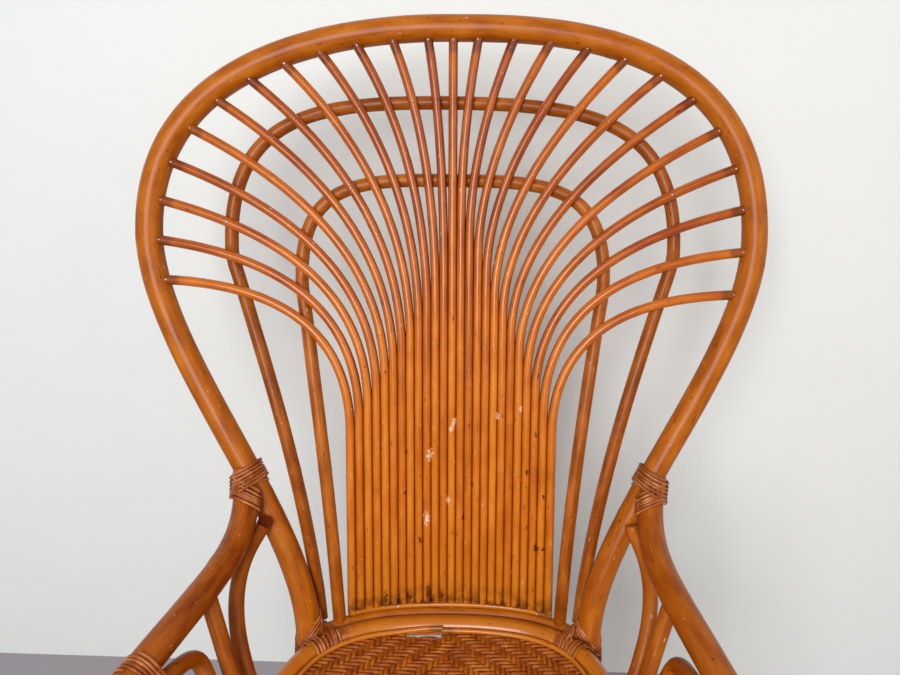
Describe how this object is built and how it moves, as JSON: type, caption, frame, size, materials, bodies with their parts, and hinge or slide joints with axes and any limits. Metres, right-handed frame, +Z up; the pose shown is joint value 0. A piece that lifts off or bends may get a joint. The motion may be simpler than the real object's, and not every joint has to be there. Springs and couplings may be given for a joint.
{
  "type": "peacock chair",
  "caption": "Rattan peacock armchair with a round hoop back, a fan of bent spindles over two arches, a woven seat in a bent ring and arms that run down into the front legs.",
  "frame": {"origin": "on the floor under the middle of the chair's footprint", "axes": "+Z up, the chair faces -Y, +X to the right as seen from the front"},
  "size_m": [0.752, 0.6176, 1.1558],
  "materials": {
    "rattan_pole": "honey-brown lacquered rattan, satin gloss",
    "rattan_peel": "copper-brown rattan peel, lacquered",
    "woven_rattan": "brown rattan core woven in herringbone, lacquered"
  },
  "bodies": {
    "root": {"outer_hoop": "rattan_pole", "inner_arch_large": "rattan_pole", "inner_arch_small": "rattan_pole", "spindle_01": "rattan_pole", "spindle_02": "rattan_pole", "spindle_03": "rattan_pole", "spindle_04": "rattan_pole", "spindle_05": "rattan_pole", "spindle_06": "rattan_pole", "spindle_07": "rattan_pole", "spindle_08": "rattan_pole", "spindle_09": "rattan_pole", "spindle_10": "rattan_pole", "spindle_11": "rattan_pole", "spindle_12": "rattan_pole", "spindle_13": "rattan_pole", "spindle_14": "rattan_pole", "spindle_15": "rattan_pole", "spindle_16": "rattan_pole", "spindle_17": "rattan_pole", "spindle_18": "rattan_pole", "spindle_19": "rattan_pole", "spindle_20": "rattan_pole", "spindle_21": "rattan_pole", "spindle_22": "rattan_pole", "spindle_23": "rattan_pole", "spindle_24": "rattan_pole", "spindle_25": "rattan_pole", "spindle_foot_strip": "rattan_pole", "back_rail": "rattan_pole", "seat_ring": "rattan_pole", "seat_trim": "rattan_pole", "woven_seat": "woven_rattan", "arm_left": "rattan_pole", "arm_right": "rattan_pole", "arm_brace_left": "rattan_pole", "arm_brace_right": "rattan_pole", "arm_strut_left": "rattan_pole", "arm_strut_right": "rattan_pole", "arm_loop_left": "rattan_pole", "arm_loop_right": "rattan_pole", "side_stretcher_left": "rattan_pole", "side_stretcher_right": "rattan_pole", "rear_stretcher": "rattan_pole", "front_stretcher": "rattan_pole", "rear_bearer": "rattan_pole", "front_bearer": "rattan_pole", "waist_binding_left": "rattan_peel", "waist_binding_right": "rattan_peel", "arm_binding_left": "rattan_peel", "arm_binding_right": "rattan_peel", "corner_binding_left": "rattan_peel", "corner_binding_right": "rattan_peel", "front_binding_left": "rattan_peel", "front_binding_right": "rattan_peel"}
  },
  "joints": []
}
